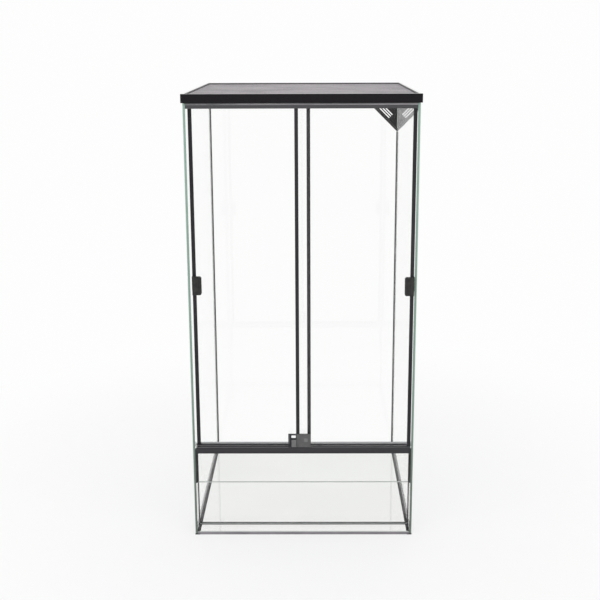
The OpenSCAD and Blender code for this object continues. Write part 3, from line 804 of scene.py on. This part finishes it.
class TERRARIUM_OT_grips(Operator):
    """Mould the two door grips, each with a ribbed finger groove"""

    bl_idname = "terrarium.grips"
    bl_label = "Grips"

    def execute(self, context):
        settings = context.scene.terrarium_doors
        made = grained("grip_plastic", settings.grip, settings.grip_worn, rough=0.5, sway=0.2,
                       patch=110.0, grain=2400.0, depth=0.00004)
        self.mould(settings, made, "left", 1)
        self.mould(settings, made, "right", -1)
        return {"FINISHED"}

    def mould(self, settings, made, side, way):
        node = f"{side}_door_grip"
        low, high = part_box(node)
        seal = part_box(f"{side}_door_outer_seal")
        edge = seal[0].x if way > 0 else seal[1].x
        back = seal[0].y
        width = (high.x - low.x) - settings.lip
        tall, thick = high.z - low.z, back - low.y
        corner, fillet = settings.grip_corner, settings.grip_fillet
        side_share = 0.12  # share of the grip's width that has finer columns
        round_steps, straight_steps, side_steps, middle_steps = 10, 60, 6, 26
        end_gap, end_run = 1 * MM, 3 * MM  # where the groove runs out at its ends
        ease = 0.2 * MM
        bm = bmesh.new()

        def extent(v):
            """Width of the grip at a height, within its rounded corners."""
            near = min(v, tall - v)
            if near >= corner:
                return width
            return width - corner + math.sqrt(max(0.0, corner ** 2 - (corner - near) ** 2))

        def depth(u, v):
            near = min(u, v, tall - v, extent(v) - u)
            if v < corner or v > tall - corner:
                cu, cv = width - corner, corner if v < corner else tall - corner
                if u > cu:
                    near = corner - math.hypot(u - cu, v - cv)
            near = min(max(near, 0.0), fillet)
            face = thick - (fillet - math.sqrt(fillet ** 2 - (fillet - near) ** 2))
            off = abs(u - settings.groove_middle)
            radius, drop = settings.groove_radius, settings.groove_depth
            half = math.sqrt(radius ** 2 - (radius - drop) ** 2)
            if off < half:
                ends = min(1.0, max(0.0, (min(v, tall - v) - fillet - end_gap) / end_run))
                ends = ends * ends * (3 - 2 * ends)
                cut = math.sqrt(radius ** 2 - off ** 2) - (radius - drop)
                wave = 0.5 + 0.5 * math.cos(2 * math.pi * (v - tall / 2) / settings.rib_pitch)
                cut -= settings.rib_height * wave * min(1.0, cut / drop * 2)
                face -= cut * ends
            return face

        def eased_steps(count):
            return [0.5 - 0.5 * math.cos(math.pi * i / count) for i in range(count + 1)]

        def spaced(whole, part, part_steps, steps, digits):
            """Places from 0 to whole, set closer within part of each end."""
            near = [part * t for t in eased_steps(part_steps)]
            middle = [part + (whole - 2 * part) * i / steps for i in range(steps + 1)]
            return sorted({round(x, digits)
                           for x in near + [whole - x for x in near] + middle})

        heights = spaced(tall, corner, round_steps, straight_steps, 7)
        across = spaced(1, side_share, side_steps, middle_steps, 6)
        grid = []
        for v in heights:
            row = []
            for a in across:
                u = a * extent(v)
                row.append(bm.verts.new((edge + way * u, back - depth(u, v), low.z + v)))
            grid.append(row)
        for lower, upper in zip(grid, grid[1:]):
            for i in range(len(lower) - 1):
                bm.faces.new((lower[i], lower[i + 1], upper[i + 1], upper[i]))
        rim = (grid[0] + [row[-1] for row in grid[1:-1]] + grid[-1][::-1]
               + [row[0] for row in grid[-2:0:-1]])
        rear = [bm.verts.new((v.co.x, back, v.co.z)) for v in rim]
        join_rings(bm, rim, rear)
        bm.faces.new(rear)
        outer = edge - way * settings.lip
        eased_box(bm, (min(edge, outer), back - thick / 2, high.z - settings.lip_height),
                  (max(edge, outer), high.y, high.z), ease)
        add_piece(f"{side}_grip", bm, node, [made])


class TERRARIUM_OT_lock(Operator):
    """Build the lock: plate, arm with its padlock eye, push bolt and strike plate"""

    bl_idname = "terrarium.lock"
    bl_label = "Lock"

    def execute(self, context):
        settings = context.scene.terrarium_lock
        cast = dict(rough=0.42, sway=0.12, patch=120.0, grain=2400.0, depth=0.000015,
                    metallic=0.35, specular=0.3)
        finishes = [grained("lock_" + part, tone, 0.85, **cast)
                    for part, tone in (("plate", settings.plate), ("post", settings.arm),
                                       ("inner", settings.dark_and_shade), ("core", settings.core))]
        self.body(settings, finishes)
        self.bolt(settings, grained("bolt_metal", settings.bolt, 0.85, **cast))
        eased_copy("lock_strike", settings.ease, finishes[2])
        return {"FINISHED"}

    def body(self, settings, finishes):
        low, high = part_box("lock_body")
        bolt_low, bolt_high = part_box("lock_bolt")
        ease, small_ease, core_ease = settings.ease, 0.1 * MM, 0.2 * MM
        wall = 1 * MM  # between the plate and the arm, and round the bolt
        # How far each part stands back from the front; the core stands out
        toe_back, web_back, bar_back, seam_back = 0.5 * MM, 0.8 * MM, 0.3 * MM, 1.6 * MM
        core_out, core_sunk, core_aside = 0.3 * MM, 1 * MM, 4.6 * MM
        front, plate_back = low.y, low.y + settings.plate_depth
        plate_x = low.x + settings.arm_width
        arm_x = plate_x - wall
        eye_x = low.x + settings.post_width
        eye_top = high.z - settings.bar_height
        eye_foot = eye_top - settings.eye_height
        hole_foot, hole_top = bolt_low.z + wall, bolt_high.z - wall
        post_share, waist_share, core_share = 0.58, 0.26, 0.55
        split = low.x + post_share * settings.post_width
        waist = low.z + waist_share * (high.z - low.z)
        bm = bmesh.new()
        eased_box(bm, (plate_x, front, low.z), (high.x, plate_back, high.z), ease, 0, 3)
        # Painted shade: the post's set-back right half and lower part take the dark finish,
        # darker than its left part; the dark finish is also the arm's own darker colour.
        eased_box(bm, (low.x, front, waist), (split, plate_back, high.z), ease, 1, 3)
        eased_box(bm, (low.x, front + toe_back, low.z), (split, plate_back, waist + ease),
                  ease, 2)
        eased_box(bm, (split - ease, front + web_back, low.z), (eye_x, plate_back, high.z),
                  ease, 2)
        eased_box(bm, (low.x, plate_back - ease, low.z), (eye_x, high.y, hole_top), ease, 2)
        for foot, top, back in ((eye_top, high.z, plate_back), (hole_top, eye_foot, plate_back),
                                (low.z, hole_foot, high.y)):
            eased_box(bm, (low.x + ease, front + bar_back, foot), (arm_x, back, top), ease, 2)
        eased_box(bm, (arm_x - ease, front + seam_back, low.z + ease),
                  (plate_x + ease, plate_back, high.z - ease), small_ease, 2)
        core_x = (plate_x + high.x) / 2 + core_aside
        core_z = low.z + core_share * (high.z - low.z)
        half = settings.core_size / 2
        eased_box(bm, (core_x - half, front - core_out, core_z - half),
                  (core_x + half, front + core_sunk, core_z + half), core_ease, 3)
        add_piece("lock_case", bm, "lock_body", finishes)

    def bolt(self, settings, made):
        low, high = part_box("lock_bolt")
        head_depth, head_overlap, head_ease = 1.5 * MM, 0.2 * MM, 0.15 * MM
        lip = 1 * MM
        rows = 14
        head_back = low.y + head_depth
        bm = bmesh.new()
        eased_box(bm, (low.x + lip, head_back - head_overlap, low.z + lip),
                  (high.x - lip, high.y, high.z - lip), settings.ease)
        profile = []
        for i in range(rows + 1):
            t = i / rows
            profile.append((low.y + settings.crown * (2 * t - 1) ** 2,
                            low.z + t * (high.z - low.z)))
        profile += [(head_back, high.z), (head_back, low.z)]
        ends = [[bm.verts.new((x, y, z)) for y, z in profile] for x in (low.x, high.x)]
        caps = skin(bm, ends)
        ease_edges(bm, list({e for face in caps for e in face.edges}), head_ease)
        add_piece("push_bolt", bm, "lock_bolt", [made])


class TERRARIUM_OT_lid_frame(Operator):
    """Coat the mitred bars of the lid and finish its keys, cord and locating blocks"""

    bl_idname = "terrarium.lid_frame"
    bl_label = "Lid frame"

    def execute(self, context):
        settings = context.scene.terrarium_lid
        coat = grained("powder_coat", settings.frame_black, settings.frame_light, rough=0.36,
                       patch=700.0, grain=850.0, depth=0.00003, specular=0.12)
        gloss = grained("frame_top", settings.frame_top, 0.9, rough=0.1, sway=0.04,
                        patch=25.0, grain=900.0, depth=0.000004, specular=0.8, coat=1.0)
        for side in ("front", "rear", "left", "right"):
            repaint(eased_copy(f"lid_{side}_bar", settings.ease, coat), gloss, faces_up)
        plastic = grained("lid_plastic", settings.cover, settings.cover_worn, rough=0.5)
        dress(plastic, "lid_corner_keys")
        eased_copy("lid_locators", settings.ease, plastic)
        eased_copy("lid_spline", settings.ease, grained(
            "spline_rubber", settings.cord, 0.7, rough=0.6, grain=700.0, depth=0.0001,
            specular=0.2))
        return {"FINISHED"}


class TERRARIUM_OT_lid_mesh(Operator):
    """Lay the two layers of wire that make the lid's mesh"""

    bl_idname = "terrarium.lid_mesh"
    bl_label = "Lid mesh"

    def execute(self, context):
        settings = context.scene.terrarium_lid
        low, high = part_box("lid_mesh")
        radius = (high.z - low.z) / 4
        bm = bmesh.new()
        self.layer(bm, settings, low, high, 0, low.z + radius, radius)
        self.layer(bm, settings, low, high, 1, high.z - radius, radius)
        made = grained("mesh_wire", settings.wire, settings.wire_dull, rough=0.4, sway=0.2,
                       patch=9.0, grain=3000.0, depth=0.00001, metallic=0.75)
        add_piece("lid_wires", bm, "lid_mesh", [made])
        return {"FINISHED"}

    def layer(self, bm, settings, low, high, along, z, radius):
        """Add the wires that run along one axis."""
        across = 1 - along
        count = int((high[across] - low[across]) / settings.wire_pitch)
        spare = (high[across] - low[across] - (count - 1) * settings.wire_pitch) / 2
        sides = settings.wire_sides
        for i in range(count):
            middle = low[across] + spare + i * settings.wire_pitch
            rings = []
            for end in (low[along], high[along]):
                ring = []
                for k in range(sides):
                    angle = 2 * math.pi * k / sides
                    spot = [0.0, 0.0, z + radius * math.sin(angle)]
                    spot[along] = end
                    spot[across] = middle + radius * math.cos(angle)
                    ring.append(bm.verts.new(spot))
                rings.append(ring)
            skin(bm, rings)


class TERRARIUM_OT_cable_cover(Operator):
    """Mould the slotted cover of the cable port"""

    bl_idname = "terrarium.cable_cover"
    bl_label = "Cable cover"

    def execute(self, context):
        settings = context.scene.terrarium_lid
        rim_clearance = 1 * MM
        pane_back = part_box("rear_pane")[1].y
        eased_copy("cable_cover", settings.cover_ease, grained(
            "cover_plastic", settings.cover, settings.cover_worn, rough=0.48, sway=0.2,
            patch=70.0, grain=1900.0, depth=0.00003, specular=0.06),
            behind=pane_back + rim_clearance)
        return {"FINISHED"}


class TERRARIUM_OT_stage(Operator):
    """Set up the floor, the room, the lamps and the camera"""

    bl_idname = "terrarium.stage"
    bl_label = "Studio"

    def execute(self, context):
        settings = context.scene.terrarium_studio
        context.scene.view_settings.view_transform = "Standard"
        self.floor(context, settings)
        self.room(context, settings)
        for name, place, side, power in (
                ("left_lamp", (-1.9, -2.3, 2.3), 2.4, settings.lamp_power),
                ("right_lamp", (2.3, -1.9, 1.9), 2.4, 0.7 * settings.lamp_power),
                ("top_lamp", (-0.1, 0.2, 3.1), 2.8, settings.top_power),
                ("rear_lamp", (0.6, 3.0, 2.0), 2.4, 0.5 * settings.lamp_power)):
            self.lamp(context, name, place, side, power)
        self.camera(context, settings)
        return {"FINISHED"}

    def floor(self, context, settings):
        bm = bmesh.new()
        bmesh.ops.create_grid(bm, x_segments=8, y_segments=8, size=FLOOR_REACH)
        mesh = bpy.data.meshes.new("studio_floor")
        bm.to_mesh(mesh)
        bm.free()
        recipe = finish("studio_floor")
        paper = recipe.principled(
            Base_Color=recipe.blend(recipe.speckle(3.0), settings.floor,
                                    toned(settings.floor, 0.99)),
            Roughness=0.9, Specular_IOR_Level=0.1)
        glow = recipe.node("ShaderNodeEmission", None, {
            "Color": rgba(settings.backdrop), "Strength": 1.0})
        middle = recipe.node("ShaderNodeVectorMath", {"operation": "LENGTH"},
                             {0: recipe.place()}, "Value")
        far = recipe.spread(middle, GLOW_STARTS, GLOW_FULL)
        part = seen_rays(recipe) * (settings.floor_glow + far * (1 - settings.floor_glow))
        mesh.materials.append(recipe.finished(
            recipe.node("ShaderNodeMixShader", None, {0: part, 1: paper, 2: glow})))
        ground = bpy.data.objects.new("studio_floor", mesh)
        context.scene.collection.objects.link(ground)

    def room(self, context, settings):
        room = bpy.data.worlds.new("studio_room")
        context.scene.world = room
        recipe = Recipe(room)
        lit = recipe.node("ShaderNodeBackground", None, {
            "Color": (1, 1, 1, 1), "Strength": settings.room_light})
        shown = recipe.node("ShaderNodeBackground", None, {
            "Color": rgba(settings.backdrop), "Strength": 1.0})
        recipe.finished(recipe.node("ShaderNodeMixShader", None, {
            0: seen_rays(recipe), 1: lit, 2: shown}), "ShaderNodeOutputWorld")

    def lamp(self, context, name, place, side, power):
        data = bpy.data.lights.new(name, "AREA")
        data.shape, data.size, data.energy = "SQUARE", side, power
        lamp = bpy.data.objects.new(name, data)
        lamp.location = place
        target = Vector((0, 0, CAD_BOX[1][2] / 2))
        lamp.rotation_euler = (target - lamp.location).to_track_quat("-Z", "Y").to_euler()
        lamp.visible_camera = lamp.visible_glossy = lamp.visible_transmission = False
        context.scene.collection.objects.link(lamp)

    def camera(self, context, settings):
        data = bpy.data.cameras.new("studio_camera")
        data.lens, data.sensor_width = settings.lens, SENSOR_WIDTH
        data.shift_x, data.shift_y = settings.shift_x, settings.shift_y
        data.dof.use_dof = False
        camera = bpy.data.objects.new("studio_camera", data)
        yaw, pitch, roll = settings.camera_yaw, settings.camera_pitch, settings.camera_roll
        ahead = Vector((math.sin(yaw) * math.cos(pitch), math.cos(yaw) * math.cos(pitch),
                        -math.sin(pitch)))
        level = Vector((math.cos(yaw), -math.sin(yaw), 0))
        above = level.cross(ahead)
        right = level * math.cos(roll) + above * math.sin(roll)
        up = above * math.cos(roll) - level * math.sin(roll)
        camera.matrix_world = Matrix((right, up, -ahead)).transposed().to_4x4()
        camera.location = settings.camera_at
        context.scene.collection.objects.link(camera)
        context.scene.camera = camera


class TERRARIUM_PT_pieces(Panel):
    """The terrarium's pieces, in the order in which they are made"""

    bl_label = "Terrarium"
    bl_idname = "TERRARIUM_PT_pieces"
    bl_space_type = "VIEW_3D"
    bl_region_type = "UI"
    bl_category = "Terrarium"

    def draw(self, context):
        for maker in OPERATORS:
            self.layout.operator(maker.bl_idname)
        for name, group in SETTINGS.items():
            box = self.layout.box()
            box.label(text=name.replace("terrarium_", "").capitalize())
            for field in group.__annotations__:
                box.prop(getattr(context.scene, name), field)


SETTINGS = {
    "terrarium_glass": GlassSettings,
    "terrarium_sealant": SealantSettings,
    "terrarium_rails": RailSettings,
    "terrarium_doors": DoorSettings,
    "terrarium_lock": LockSettings,
    "terrarium_lid": LidSettings,
    "terrarium_studio": StudioSettings,
}
OPERATORS = (
    TERRARIUM_OT_fixed_panes,
    TERRARIUM_OT_door_panes,
    TERRARIUM_OT_sealant,
    TERRARIUM_OT_base,
    TERRARIUM_OT_rails,
    TERRARIUM_OT_door_fittings,
    TERRARIUM_OT_grips,
    TERRARIUM_OT_lock,
    TERRARIUM_OT_lid_frame,
    TERRARIUM_OT_lid_mesh,
    TERRARIUM_OT_cable_cover,
    TERRARIUM_OT_stage,
)


def register():
    for group in SETTINGS.values():
        bpy.utils.register_class(group)
    for name, group in SETTINGS.items():
        setattr(bpy.types.Scene, name, PointerProperty(type=group))
    for maker in (*OPERATORS, TERRARIUM_PT_pieces):
        bpy.utils.register_class(maker)


def unregister():
    for maker in (TERRARIUM_PT_pieces, *reversed(OPERATORS)):
        bpy.utils.unregister_class(maker)
    for name, group in SETTINGS.items():
        delattr(bpy.types.Scene, name)
        bpy.utils.unregister_class(group)


def main():
    register()
    for maker in OPERATORS:
        family, step = maker.bl_idname.split(".")
        getattr(getattr(bpy.ops, family), step)()


if __name__ == "__main__":
    main()
